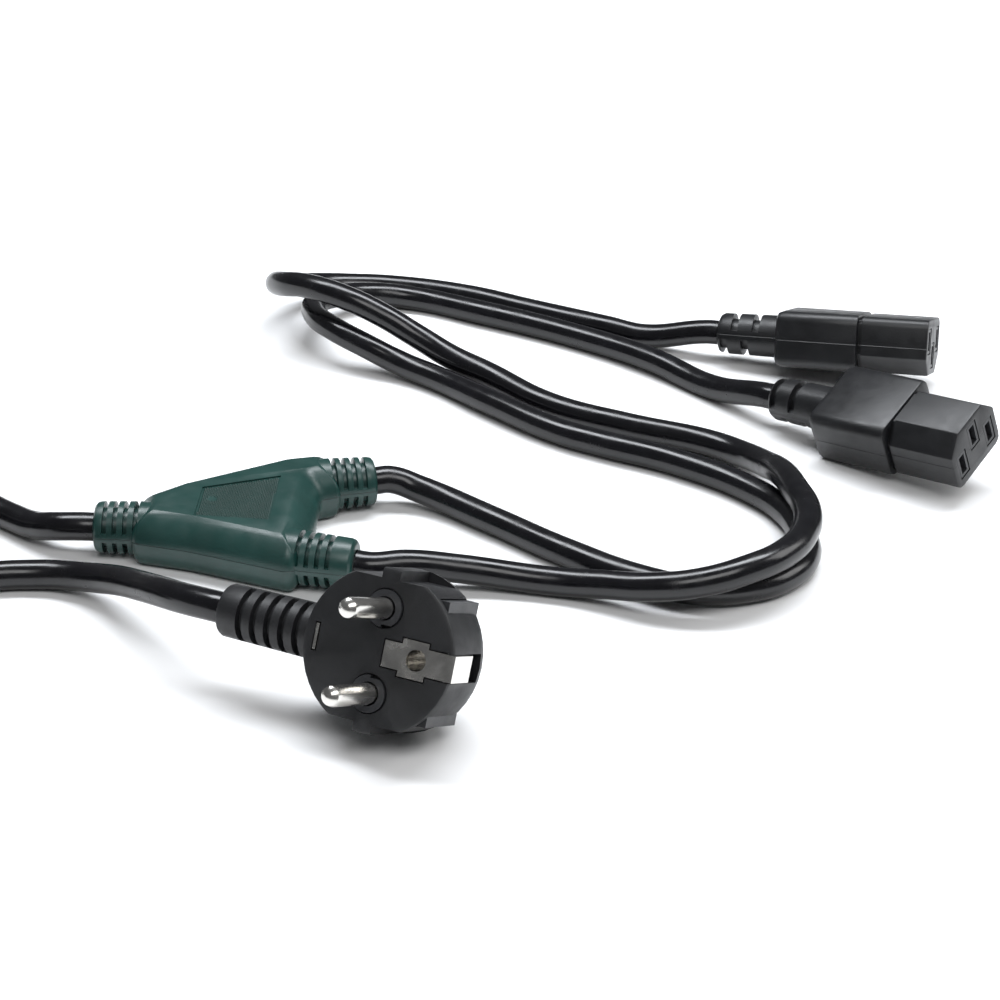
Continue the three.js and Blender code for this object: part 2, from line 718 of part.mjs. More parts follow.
function plugHousing() {
  const { notchFlat, notchInner, notchOuter, notchDepth, radius } = plug;
  const notches = [1, -1].flatMap((side) => [1, -1].map((end) => {
    const y = [end * notchInner, end * notchOuter].sort((a, b) => a - b);
    const z = [side * notchFlat, side * (radius + overrun)].sort((a, b) => a - b);
    return boxBetween([-notchDepth, y[0], z[0]], [overrun, y[1], z[1]]);
  }));
  const { halfHeight, from, to, faceWall } = pinBridge;
  const pocket = boxBetween(
    [bridgeBack - clearance, from - clearance, -halfHeight - clearance],
    [-faceWall, to + clearance, halfHeight + clearance],
  );
  const windows = [1, -1].map((side) =>
    moved(moved(rod(pin.collarRadius + clearance, -faceWall - overrun, overrun, 28), zToX), pinPlace(side)),
  );
  const t = earthClip.thickness;
  const bridgeX = bridgeBack - clearance;
  const w = earthClip.halfWidth + clearance;
  const clipSpace = join(
    clipStrip(clearance),
    boxBetween([bridgeX - t - clearance, earthClip.tabFrom - clearance, -w], [bridgeX + overrun, 15.6 + clearance, w]),
    boxBetween([bridgeX - t, earthClip.tabFrom - clearance, -w], [overrun, earthClip.tabFrom + t + clearance, w]),
    boxBetween([bridgeX - t, 15.6 - t - clearance, -w], [overrun, 15.6 + clearance, w]),
  );
  const sideSlot = boxBetween([-earthSlotDepth, radius - 2.2, -w], [-1, radius + overrun, w]);
  const earthHole = moved(
    moved(rod(earthClip.holeRadius + socket.wall + clearance, -faceWall - overrun, overrun, 24), zToX),
    holePlace,
  );
  const bore = moved(
    moved(rod(coreBoreRadius, 0, plugRelief.end + overrun), zToMinusY),
    new THREE.Matrix4().makeTranslation(-plugRelief.axisDepth, 0, 0),
  );
  return cut(join(plugBody(), plugReliefSolid()), ...notches, pocket, ...windows, clipSpace, sideSlot, earthHole, bore);
}

function plugInsert() {
  const { halfHeight, from, to } = pinBridge;
  const body = boxBetween([bridgeBack, from, -halfHeight], [bridgeFront, to, halfHeight]);
  const collars = [1, -1].map((side) =>
    moved(moved(rod(pin.collarRadius, bridgeFront - overrun, pin.collarHeight, 28), zToX), pinPlace(side)),
  );
  const pinHoles = [1, -1].map((side) =>
    moved(moved(rod(pin.radius + clearance, pinBack - clearance, pin.length, 24), zToX), pinPlace(side)),
  );
  const crimpRoom = [1, -1].map((side) =>
    moved(moved(rod(crimp.radius + clearance, bridgeBack - overrun, pinBack, 20), zToX), pinPlace(side)),
  );
  const socketHole = moved(
    moved(rod(earthClip.holeRadius + socket.wall + clearance, bridgeFront - socket.length - clearance, overrun, 24), zToX),
    holePlace,
  );
  const w = earthClip.halfWidth;
  const clipRoom = boxBetween([bridgeBack - overrun, earthClip.holeAt + 1, -w], [bridgeFront - socket.length, to + overrun, w]);
  const faceSlot = boxBetween(
    [-earthClip.thickness - 2 * clearance, 0, -6],
    [overrun, 16, 6],
  );
  const coreWay = boxBetween([bridgeBack - overrun, from - overrun, -2.6], [-5.4, 4.5, 2.6]);
  return cut(join(body, ...collars), ...pinHoles, ...crimpRoom, socketHole, clipRoom, faceSlot, coreWay);
}

function pinSolid() {
  const r = pin.radius;
  return moved(
    turned([
      [0, pinBack],
      [r, pinBack],
      [r, pin.length - r * 0.9],
      [r * 0.87, pin.length - r * 0.42],
      [r * 0.5, pin.length - r * 0.1],
      [0, pin.length],
    ], 24),
    zToX,
  );
}

function crimpSolid(from) {
  return moved(
    cut(rod(crimp.radius, from - crimp.length, from, 16), rod(crimp.bore, from - crimp.length - overrun, from - 2, 16)),
    zToX,
  );
}

const plugGroup = new THREE.Group();
plugGroup.name = "plug";
addNode(plugGroup, "plug_housing", plugHousing(), "overmould");
addNode(plugGroup, "plug_insert", plugInsert(), "carrier");
[["line", 1], ["neutral", -1]].forEach(([wire, side]) => {
  addNode(plugGroup, "plug_pin_" + wire, moved(pinSolid(), pinPlace(side)), "nickel");
  addNode(plugGroup, "plug_crimp_" + wire, moved(crimpSolid(pinBack - clearance), pinPlace(side)), "brass");
});
addNode(plugGroup, "plug_earth_clip", earthClipSolid(), "nickel");
const socketFront = -earthClip.thickness - clearance;
const socketSolid = moved(
  moved(
    cut(
      rod(earthClip.holeRadius + socket.wall, bridgeFront - socket.length, socketFront, 24),
      rod(earthClip.holeRadius, bridgeFront - socket.length + 1.2, overrun, 24),
    ),
    zToX,
  ),
  holePlace,
);
addNode(plugGroup, "plug_earth_socket", socketSolid, "nickel");
layDown(plugGroup, plugPose);
const plugExit = reliefExit(plugGroup.matrixWorld, [-plugRelief.axisDepth, -plugRelief.end, 0], [0, -1, 0]);

// Cords

function routePoints(route) {
  return route.map(([x, y, lift]) => new THREE.Vector3(x, y, cordRadius + cordOffTable + lift * cordDiameter));
}

// Points of a cord that leaves one exit straight, follows its route and arrives straight at the other.
function cordPoints(from, route, to, straight = 4) {
  return [
    from.point,
    from.point.clone().addScaledVector(from.outward, straight),
    ...routePoints(route),
    to.point.clone().addScaledVector(to.outward, straight),
    to.point,
  ];
}

function blockExit(relief) {
  return reliefExit(blockReliefPlacement(relief), [relief.length, 0, 0], [1, 0, 0]);
}

// Where a lead lies against the coil's outer turn and carries on along it.
const turns = coil.turnsAcross;
const coilOuter = coil.middleRadius + (turns * cordDiameter) / 2;
const coilInner = coil.middleRadius - (turns * cordDiameter) / 2;
function coilExit(angle, turnSide) {
  const out = new THREE.Vector3(Math.cos(radians(angle)), Math.sin(radians(angle)), 0);
  const outward = new THREE.Vector3(-out.y, out.x, 0).multiplyScalar(turnSide);
  const point = new THREE.Vector3(coil.center[0], coil.center[1], cordRadius + cordOffTable)
    .addScaledVector(out, coilOuter + clearance + cordRadius);
  return { point, outward };
}

addNode(splitter, "branch_a_cord", cordSolid(cordPoints(blockExit(upperRelief), branchARoute, connectorAExit), branchSteps), "cord");
addNode(splitter, "branch_b_cord", cordSolid(cordPoints(blockExit(lowerRelief), branchBRoute, connectorBExit), branchSteps), "cord");
addNode(
  splitter,
  "trunk_cord_block_end",
  cordSolid(cordPoints(blockExit(trunkRelief), blockLeadRoute, coilExit(coil.joinAngle, -1)), leadSteps),
  "cord",
);
addNode(
  splitter,
  "trunk_cord_plug_end",
  cordSolid(cordPoints(plugExit, plugLeadRoute, coilExit(-coil.joinAngle, 1)), leadSteps),
  "cord",
);

// The coil's section: each turn bulges a little on the sides that show.
function coilProfile() {
  const high = coil.layers * cordDiameter;
  const sides = [
    { from: [coilInner, 0], step: [cordDiameter, 0], out: [0, -1], count: turns },
    { from: [coilOuter, 0], step: [0, cordDiameter], out: [1, 0], count: coil.layers },
    { from: [coilOuter, high], step: [-cordDiameter, 0], out: [0, 1], count: turns },
    { from: [coilInner, high], step: [0, -cordDiameter], out: [-1, 0], count: coil.layers },
  ];
  const profile = [];
  for (const { from, step, out, count } of sides) {
    for (let turn = 0; turn < count; turn++) {
      for (const [share, dip] of [[0, coil.valley], [0.25, 0], [0.75, 0]]) {
        profile.push([
          from[0] + step[0] * (turn + share) - out[0] * dip,
          from[1] + step[1] * (turn + share) - out[1] * dip,
        ]);
      }
    }
  }
  profile.push(profile[0]);
  return profile;
}
const coilPlace = new THREE.Matrix4().makeTranslation(coil.center[0], coil.center[1], 0);
addNode(splitter, "trunk_coil", moved(turned(coilProfile(), coil.segments), coilPlace), "cord");

// The origin goes exactly under the middle of the Y block's box.
const blockBox = new THREE.Box3().setFromBufferAttribute(geometryFrom(blockHousing).getAttribute("position"));
const blockMiddle = blockBox.getCenter(new THREE.Vector3());
splitter.position.set(-blockMiddle.x, -blockMiddle.y, 0);

export default splitter;
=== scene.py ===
# Power cord splitter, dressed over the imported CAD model.
# Sizes are written in millimetres and turned into metres by MM or mm().

import math

import bmesh
import bpy
from mathutils import Euler, Matrix, Vector


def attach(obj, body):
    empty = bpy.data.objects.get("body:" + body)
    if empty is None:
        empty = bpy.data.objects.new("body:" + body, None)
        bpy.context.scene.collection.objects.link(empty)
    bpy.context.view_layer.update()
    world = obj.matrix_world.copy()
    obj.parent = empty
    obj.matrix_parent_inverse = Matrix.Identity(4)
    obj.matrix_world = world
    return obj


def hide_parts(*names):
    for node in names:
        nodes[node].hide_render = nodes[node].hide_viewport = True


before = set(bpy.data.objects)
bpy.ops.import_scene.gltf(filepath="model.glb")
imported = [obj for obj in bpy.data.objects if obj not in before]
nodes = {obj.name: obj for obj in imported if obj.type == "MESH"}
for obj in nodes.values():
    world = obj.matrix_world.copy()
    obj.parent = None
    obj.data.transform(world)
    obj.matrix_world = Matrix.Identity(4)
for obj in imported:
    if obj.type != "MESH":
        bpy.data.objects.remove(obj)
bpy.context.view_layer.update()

MM = 0.001


def mm(*values):
    return Vector(values) * MM


# Places

# The part's origin is under the middle of the Y block's box, this far from where its sizes start.
BLOCK_SHIFT = Vector((-0.143, 0.205, 0))

CORD_DIAMETER = 7.4
CORD_RADIUS = CORD_DIAMETER / 2
CORD_OFF_TABLE = 0.2
# Gap between a strain relief's end and the cord, and the straight run that follows.
CLEARANCE = 0.3
STRAIGHT = 4
# Half the Y block's height, which is also the height of its parting line.
BLOCK_HALF = 7.3


def local_frame(at, height, heading, nose_up, roll):
    """Matrix in millimetres of a plug or connector: x out of its face, z towards its earth side."""
    turn = Euler((math.radians(roll), -math.radians(nose_up), math.radians(heading)), "XYZ")
    place = Vector((at[0], at[1], height)) + BLOCK_SHIFT
    return Matrix.Translation(place) @ turn.to_matrix().to_4x4()


PLUG = local_frame((41.8, -92.5), 23.77, -116.3, 26.6, 1.9)
CONNECTOR_A = local_frame((194.9, 38.1), 16.63, -40.7, 6.7, 22.1)
CONNECTOR_B = local_frame((194.3, 107.3), 14.70, -18.2, 5.2, 162.4)
CONNECTORS = {"connector_a": CONNECTOR_A, "connector_b": CONNECTOR_B}


def local_exit(matrix, at, direction):
    """Where a cord leaves a strain relief, and which way it points there."""
    outward = (matrix.to_3x3() @ Vector(direction)).normalized()
    return matrix @ Vector(at) + outward * CLEARANCE, outward


def block_exit(at, heading, length):
    """The same for a strain relief of the Y block, which lies level."""
    outward = Vector((math.cos(math.radians(heading)), math.sin(math.radians(heading)), 0))
    start = Vector((at[0], at[1], BLOCK_HALF)) + BLOCK_SHIFT
    return start + outward * (length + CLEARANCE), outward


# Strain reliefs of the Y block: where the axis leaves the body, heading, length, radii at the
# body and at the end, and how far from the body the first slot is.
TRUNK_RELIEF = ((-23.5, -7.5), 180, 10.9, 6.85, 6.6, 0.1)
UPPER_RELIEF = ((22.6, 20.2), 14, 12, 6.95, 6.5, 0.8)
LOWER_RELIEF = ((17.6, -20.5), -11, 15.2, 6.95, 6.4, 1.6)

TRUNK_EXIT = block_exit(*TRUNK_RELIEF[:3])
UPPER_EXIT = block_exit(*UPPER_RELIEF[:3])
LOWER_EXIT = block_exit(*LOWER_RELIEF[:3])
# Ends of the other reliefs, in the frames of the connectors and the plug.
CONNECTOR_END = (-64.5, 0, 0)
PLUG_END = (-8, -42.6, 0)
CONNECTOR_A_EXIT = local_exit(CONNECTOR_A, CONNECTOR_END, (-1, 0, 0))
CONNECTOR_B_EXIT = local_exit(CONNECTOR_B, CONNECTOR_END, (-1, 0, 0))
PLUG_EXIT = local_exit(PLUG, PLUG_END, (0, -1, 0))

# Cord routes: x, y and lift off the table in cord diameters. The branches run as in the part's
# source. The trunk's two leads have points of their own, for smoother bends.
BRANCH_A_ROUTE = [
    (46, 23, 0.2), (66, 9, 0), (85, -7.5, 0), (105, -22, 0.05), (117.5, -26, 0.05),
    (130, -24, 0.05), (140, -17, 0), (146, -6, 0), (146, 7, 0), (143, 19, 0), (136, 30, 0),
    (117, 46, 0), (95, 57.5, 0), (84, 64, 0), (65, 81, 0.05), (48, 98.5, 0), (37, 106, 0.15),
    (26, 111, 0.6), (16, 118, 0.9), (10, 128.5, 0.85), (9, 141, 0.7), (14.5, 152, 0.45),
    (24.5, 159, 0.2), (37, 160.5, 0), (60, 150, 0), (92.5, 131.5, 0), (112, 116, 0.05),
    (129.5, 97.5, 0),
]
BRANCH_B_ROUTE = [
    (45, -23, 0.5), (57, -21, 0.25), (82, -23, 0), (94, -26.5, 0.2), (105.5, -31, 0.5),
    (117.5, -32, 0.8), (129, -28, 1.05), (138.5, -20, 1.1), (144.5, -9, 1.1), (146.5, 3, 1.15),
    (144.5, 15.5, 1.15), (142.5, 27.5, 0.95), (139.5, 39.5, 0.5), (134.5, 50.5, 0.15),
    (125.5, 59, 0.05), (103, 69.5, 0), (81, 82, 0), (62.5, 98, 0.3), (52, 105, 0.55),
    (41.5, 110.5, 1.1), (30.5, 114, 1.8), (19.5, 117.5, 2.3), (8.5, 123.5, 2.4), (0, 132.5, 2),
    (-3, 143.5, 1.4), (-0.5, 154.5, 0.75), (7, 164, 0.3), (18, 169, 0.05), (30.5, 169.5, 0),
    (54.5, 163.5, 0), (77, 152, 0), (99, 140, 0.05), (110.5, 135, 0),
]
BLOCK_LEAD_ROUTE = [
    (-45, -6.3, 0.35), (-51, -2.6, 0.1), (-57.5, 2.6, 0), (-66, 9.5, 0), (-78.5, 21, 0),
    (-90.5, 31.5, 0),
]
PLUG_LEAD_ROUTE = [
    (-4.5, -61, 1.85), (-11, -54, 1.54), (-17, -46, 1.12), (-23.5, -38.5, 0.72),
    (-30, -32.5, 0.34), (-37, -28.5, 0.1), (-45, -27, 0), (-60, -30, 0), (-72, -39, 0),
    (-84, -50, 0), (-92, -56, 0),
]

# The coil that holds the trunk's unseen length: radii of its turns, and radius and angle in
# degrees at which its two ends join the leads.
COIL_CENTER = Vector((-121.3, -11.7, 0)) + BLOCK_SHIFT
COIL_OUTER = 44.9
COIL_INNER = 30.1
COIL_JOIN_RADIUS = 52.6
COIL_JOIN_ANGLE = 70


# Camera: the photograph's viewpoint, fitted to the standard pin and slot sizes.
CAMERA_TARGET = mm(67.557, 28.505, 0)
CAMERA_DISTANCE = 628.2
CAMERA_PITCH = math.radians(27)
CAMERA_ROLL = math.radians(1.668)
CAMERA_LENS = 84.27
CAMERA_SENSOR = 36


def place_camera():
    pitch, roll = CAMERA_PITCH, CAMERA_ROLL
    forward = Vector((0, math.cos(pitch), -math.sin(pitch)))
    upright = Vector((0, math.sin(pitch), math.cos(pitch)))
    level = Vector((1, 0, 0))
    right = level * math.cos(roll) + upright * math.sin(roll)
    up = upright * math.cos(roll) - level * math.sin(roll)
    data = bpy.data.cameras.new("photo_camera")
    data.lens = CAMERA_LENS
    data.sensor_width = CAMERA_SENSOR
    data.clip_start = 0.01
    camera = bpy.data.objects.new("photo_camera", data)
    place = CAMERA_TARGET - forward * CAMERA_DISTANCE * MM
    axes = Matrix((right, up, -forward)).transposed()
    camera.matrix_world = Matrix.Translation(place) @ axes.to_4x4()
    bpy.context.scene.collection.objects.link(camera)
    bpy.context.scene.camera = camera


place_camera()


# Procedural materials

def new_material(name, color, roughness, metallic=0.0):
    """A principled material and its node tree."""
    material = bpy.data.materials.new(name)
    material.use_nodes = True
    tree = material.node_tree
    shader = tree.nodes["Principled BSDF"]
    shader.inputs["Base Color"].default_value = (*color, 1)
    shader.inputs["Roughness"].default_value = roughness
    shader.inputs["Metallic"].default_value = metallic
    return material, tree, shader


def add(tree, kind, **sockets):
    """A new node. Values set its sockets, and sockets given as values are linked to them."""
    node = tree.nodes.new(kind)
    for name, value in sockets.items():
        socket = node.inputs[name.replace("_", " ")]
        if isinstance(value, bpy.types.NodeSocket):
            tree.links.new(value, socket)
        else:
            socket.default_value = value
    return node


def math_node(tree, operation, *values, clamp=False):
    """The result of one sum. Each value is a number or a socket."""
    node = tree.nodes.new("ShaderNodeMath")
    node.operation = operation
    node.use_clamp = clamp
    for i, value in enumerate(values):
        if isinstance(value, bpy.types.NodeSocket):
            tree.links.new(value, node.inputs[i])
        else:
            node.inputs[i].default_value = value
    return node.outputs[0]


def object_coordinates(tree, matrix=None):
    """Object coordinates in metres, or those in the frame of a plug or connector."""
    coordinates = tree.nodes.new("ShaderNodeTexCoord").outputs["Object"]
    if matrix is None:
        return coordinates
    mapping = tree.nodes.new("ShaderNodeMapping")
    mapping.vector_type = "TEXTURE"
    place, turn, _ = matrix.decompose()
    mapping.inputs["Location"].default_value = place * MM
    mapping.inputs["Rotation"].default_value = turn.to_euler("XYZ")
    tree.links.new(coordinates, mapping.inputs["Vector"])
    return mapping.outputs["Vector"]


def noise(tree, vector, size, detail=3.0):
    """Noise whose features are about size millimetres across."""
    node = add(tree, "ShaderNodeTexNoise", Vector=vector, Scale=1000 / size, Detail=detail)
    return node.outputs["Fac"]


def spread(tree, value, low, high):
    """A noise value, mostly between 0.3 and 0.7, spread over low to high."""
    node = add(tree, "ShaderNodeMapRange", Value=value)
    node.inputs["From Min"].default_value = 0.3
    node.inputs["From Max"].default_value = 0.7
    node.inputs["To Min"].default_value = low
    node.inputs["To Max"].default_value = high
    return node.outputs["Result"]


def blend_colors(tree, factor, first, second):
    """A mix of two colours, each given as numbers or as a socket."""
    node = tree.nodes.new("ShaderNodeMix")
    node.data_type = "RGBA"
    tree.links.new(factor, node.inputs["Factor"])
    for socket, value in ((node.inputs[6], first), (node.inputs[7], second)):
        if isinstance(value, bpy.types.NodeSocket):
            tree.links.new(value, socket)
        else:
            socket.default_value = (*value, 1)
    return node.outputs[2]


def bump(tree, height, depth, normal=None):
    """A bump as deep as depth millimetres where height goes from 0 to 1."""
    node = add(tree, "ShaderNodeBump", Height=height, Distance=depth * MM)
    if normal is not None:
        tree.links.new(normal, node.inputs["Normal"])
    return node.outputs["Normal"]


def line_at(tree, vector, axis, at, half_width):
    """1 on a thin line where one coordinate has the value at, in millimetres, and 0 beside it."""
    split = add(tree, "ShaderNodeSeparateXYZ", Vector=vector)
    away = math_node(tree, "ABSOLUTE", math_node(tree, "SUBTRACT", split.outputs[axis], at * MM))
    share = math_node(tree, "DIVIDE", away, half_width * MM)
    return math_node(tree, "SUBTRACT", 1.0, share, clamp=True)


def plastic(name, dark, light, roughness, grain, depth, matrix=None, seam=None):
    """Moulded plastic with a fine grain, uneven gloss and, if given, a parting line."""
    material, tree, shader = new_material(name, dark, roughness)
    vector = object_coordinates(tree, matrix)
    cloud = spread(tree, noise(tree, vector, 9), 0, 1)
    color = blend_colors(tree, cloud, dark, light)
    gloss = spread(tree, noise(tree, vector, 4), roughness - 0.06, roughness + 0.06)
    tree.links.new(gloss, shader.inputs["Roughness"])
    normal = bump(tree, noise(tree, vector, grain, 4), depth)
    if seam is not None:
        line = line_at(tree, vector, "Z", seam, SEAM_HALF_WIDTH)
        color = blend_colors(tree, line, color, tuple(part * 0.35 for part in dark))
        normal = bump(tree, math_node(tree, "MULTIPLY", line, -1.0), SEAM_DEPTH, normal)
    tree.links.new(color, shader.inputs["Base Color"])
    tree.links.new(normal, shader.inputs["Normal"])
    return material


def metal(name, color, roughness, streak_size, matrix=None):
    """Plated metal with faint drawing streaks along the part."""
    material, tree, shader = new_material(name, color, roughness, 1.0)
    vector = object_coordinates(tree, matrix)
    stretch = add(tree, "ShaderNodeVectorMath", Vector=vector)
    stretch.operation = "MULTIPLY"
    stretch.inputs[1].default_value = (0.08, 1, 1)
    streaks = noise(tree, stretch.outputs[0], streak_size, 5)
    tree.links.new(spread(tree, streaks, roughness * 0.7, roughness * 1.5), shader.inputs["Roughness"])
    shade = blend_colors(tree, spread(tree, streaks, 0, 1), tuple(c * 0.86 for c in color), color)
    tree.links.new(shade, shader.inputs["Base Color"])
    return material


# Half width and depth of a moulded parting line.
SEAM_HALF_WIDTH = 0.13
SEAM_DEPTH = 0.12

BLACK = (0.0045, 0.0048, 0.0058)
BLACK_LIGHT = (0.0085, 0.009, 0.0105)
GREEN = (0.0075, 0.036, 0.031)
GREEN_LIGHT = (0.011, 0.046, 0.040)

green = plastic("green_overmould", GREEN, GREEN_LIGHT, 0.36, 0.5, 0.015, seam=BLOCK_HALF)
plug_black = plastic("plug_overmould", BLACK, BLACK_LIGHT, 0.5, 0.4, 0.03, PLUG)
connector_black = {
    name: plastic(name + "_overmould", BLACK, BLACK_LIGHT, 0.42, 0.4, 0.03, matrix, seam=0)
    for name, matrix in CONNECTORS.items()
}
carrier = plastic("carrier", (0.016, 0.017, 0.019), (0.024, 0.025, 0.028), 0.45, 0.6, 0.02)
cord_jacket = plastic("cord_jacket", (0.003, 0.003, 0.004), (0.0045, 0.0045, 0.006), 0.22, 3, 0.01)
nickel = metal("nickel", (0.80, 0.78, 0.74), 0.2, 4, PLUG)
brass = metal("brass", (0.71, 0.52, 0.24), 0.32, 0.4)
strap = plastic("strap", (0.01, 0.01, 0.011), (0.02, 0.02, 0.022), 0.7, 0.3, 0.05)


def set_material(node, material):
    """Fill every material slot of a CAD node, whose mesh stays as it is."""
    for slot in nodes[node].material_slots:
        slot.material = material


def facet_smoother(angle):
    """A modifier group that shades facets smoothly where they meet at less than angle, in degrees."""
    tree = bpy.data.node_groups.new("smooth_facets", "GeometryNodeTree")
    tree.interface.new_socket("Geometry", in_out="INPUT", socket_type="NodeSocketGeometry")
    tree.interface.new_socket("Geometry", in_out="OUTPUT", socket_type="NodeSocketGeometry")
    shape = tree.nodes.new("NodeGroupInput").outputs[0]
    bare = add(tree, "GeometryNodeRemoveAttribute", Geometry=shape, Name="custom_normal")
    merge = add(tree, "GeometryNodeMergeByDistance", Geometry=bare.outputs[0], Distance=0.00001)
    faces = add(tree, "GeometryNodeSetShadeSmooth", Geometry=merge.outputs[0], Shade_Smooth=True)
    bend = tree.nodes.new("GeometryNodeInputMeshEdgeAngle").outputs["Unsigned Angle"]
    sharp = math_node(tree, "GREATER_THAN", bend, math.radians(angle))
    edges = tree.nodes.new("GeometryNodeSetShadeSmooth")
    edges.domain = "EDGE"
    tree.links.new(faces.outputs[0], edges.inputs["Geometry"])
    tree.links.new(sharp, edges.inputs["Selection"])
    edges.inputs["Shade Smooth"].default_value = False
    tree.links.new(edges.outputs[0], tree.nodes.new("NodeGroupOutput").inputs[0])
    return tree


SMOOTH_BELOW = 32
smoother = facet_smoother(SMOOTH_BELOW)


def smooth_facets(piece):
    piece.modifiers.new("smooth_facets", "NODES").node_group = smoother


for piece in nodes.values():
    smooth_facets(piece)

for name in nodes:
    if name.startswith("y_splice") or "_contact_" in name or "_crimp_" in name:
        set_material(name, brass)
    elif name.startswith("plug_pin") or name.startswith("plug_earth"):
        set_material(name, nickel)
    elif name.endswith("_insert") or name.endswith("_core"):
        set_material(name, carrier)
set_material("y_housing", green)
set_material("plug_housing", plug_black)
for name, material in connector_black.items():
    set_material(name + "_housing", material)
    set_material(name + "_contact_earth", nickel)


# Cords

def route_points(route):
    """A route's points in millimetres."""
    height = CORD_RADIUS + CORD_OFF_TABLE
    return [Vector((x, y, height + lift * CORD_DIAMETER)) + BLOCK_SHIFT for x, y, lift in route]


def leave(end, side=1):
    """The first two points of a cord at an exit, in the order that it runs."""
    point, outward = end
    pair = [point, point + outward * STRAIGHT]
    return pair if side > 0 else pair[::-1]


def coil_points():
    """Counter-clockwise turns: in along the table, up inside, and out again on top."""
    table = CORD_RADIUS + CORD_OFF_TABLE
    top = table + CORD_DIAMETER
    settle = 130
    climb = settle + 2 * 360
    crest = climb + 90
    last_turn = 1670
    end = 5 * 360 - COIL_JOIN_ANGLE
    degrees_per_point = 22
    # Angle, radius and height at which the turns change what they do.
    marks = [
        (COIL_JOIN_ANGLE, COIL_JOIN_RADIUS, table),
        (settle, COIL_OUTER, table),
        (climb, COIL_INNER, table),
        (climb + 45, COIL_INNER - 0.6, (table + top) / 2),
        (crest, COIL_INNER, top),
        (last_turn, COIL_OUTER, top),
        (end, COIL_JOIN_RADIUS, table),
    ]
    points = []
    for (angle, radius, height), (next_angle, next_radius, next_height) in zip(marks, marks[1:]):
        count = max(2, round((next_angle - angle) / degrees_per_point))
        for step in range(count):
            share = step / count
            eased = share * share * (3 - 2 * share) if next_height != height else share
            turn = math.radians(angle + (next_angle - angle) * share)
            reach = radius + (next_radius - radius) * eased
            place = COIL_CENTER + Vector((math.cos(turn), math.sin(turn), 0)) * reach
            place.z = height + (next_height - height) * eased
            points.append(place)
    turn = math.radians(end)
    last = COIL_CENTER + Vector((math.cos(turn), math.sin(turn), 0)) * COIL_JOIN_RADIUS
    last.z = table
    return points + [last]


def cord_curve(name, points):
    """One open spline through the points, in millimetres, with round caps."""
    data = bpy.data.curves.new(name, "CURVE")
    data.dimensions = "3D"
    data.bevel_depth = CORD_RADIUS * MM
    data.bevel_resolution = 8
    data.resolution_u = 10
    data.use_fill_caps = True
    spline = data.splines.new("BEZIER")
    spline.bezier_points.add(len(points) - 1)
    for place, point in zip(points, spline.bezier_points):
        point.co = place * MM
        point.handle_left_type = "AUTO"
        point.handle_right_type = "AUTO"
    piece = bpy.data.objects.new(name, data)
    bpy.context.scene.collection.objects.link(piece)
    data.materials.append(cord_jacket)
    return piece


def centreline_length(piece):
    """The curve's own length in metres."""
    return sum(spline.calc_length() for spline in piece.data.splines)


def declare_cord(piece, replaced):
    """Put a cord in the place of its CAD nodes, and attach it to the root body."""
    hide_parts(*replaced)
    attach(piece, "root")


branch_a = cord_curve(
    "branch_a_lead",
    leave(UPPER_EXIT) + route_points(BRANCH_A_ROUTE) + leave(CONNECTOR_A_EXIT, -1),
)
branch_b = cord_curve(
    "branch_b_lead",
    leave(LOWER_EXIT) + route_points(BRANCH_B_ROUTE) + leave(CONNECTOR_B_EXIT, -1),
)
trunk = cord_curve(
    "trunk_lead",
    leave(TRUNK_EXIT) + route_points(BLOCK_LEAD_ROUTE) + coil_points()
    + route_points(PLUG_LEAD_ROUTE)[::-1] + leave(PLUG_EXIT, -1),
)


# Details

def new_piece(name, builder, material):
    """A mesh object from bmesh data in millimetres, riding on the part."""
    bmesh.ops.scale(builder, vec=(MM, MM, MM), verts=builder.verts)
    bmesh.ops.recalc_face_normals(builder, faces=builder.faces)
    mesh = bpy.data.meshes.new(name)
    builder.to_mesh(mesh)
    builder.free()
    mesh.materials.append(material)
    piece = bpy.data.objects.new(name, mesh)
    bpy.context.scene.collection.objects.link(piece)
    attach(piece, "root")
    return piece


# Y block: corners of x, y and radius, and then pairs of the inset from that outline and the
# share of the half height down or up from the parting line at which it applies.
BLOCK_OUTLINE = [
    (-24.8, -15.6, 3), (-9.8, -19.2, 14), (18.5, -29.5, 3.5), (21.2, -13.6, 3), (21.0, 10.6, 3),
    (26.4, 13.2, 2), (22.8, 28.8, 3.5), (9.5, 24.9, 16), (-16.2, 8.3, 14), (-25.0, 0.2, 3),
]
LOWER_EDGE = [(3.4, 1), (1.9, 0.9), (0.9, 0.7), (0.3, 0.4), (0, 0.04)]
UPPER_EDGE = [(0, 0.04), (0.5, 0.28), (1.5, 0.52), (2.8, 0.72), (4.2, 0.88), (5.6, 1)]
# Slots of its reliefs: each is cut down to the radius SLOT_FLOOR, in an upper and a lower row,
# and a plain band as wide as BAND on the surface stays on both sides.
SLOT_COUNT = 4
SLOT_WIDTH = 1.2
SLOT_PITCH = 2.6
SLOT_FLOOR = 5
SLOT_REACH = 9
BAND = 2.3
SURFACE_RADIUS = 6.8
# How far a relief reaches into the body, the width of its rounded end, and the cord's mouth.
RELIEF_ROOT = 4
RELIEF_ROUND = 1.6
MOUTH_RADIUS = 3.75
MOUTH_DEPTH = 1
RELIEF_EDGE = 0.18
AROUND = 48


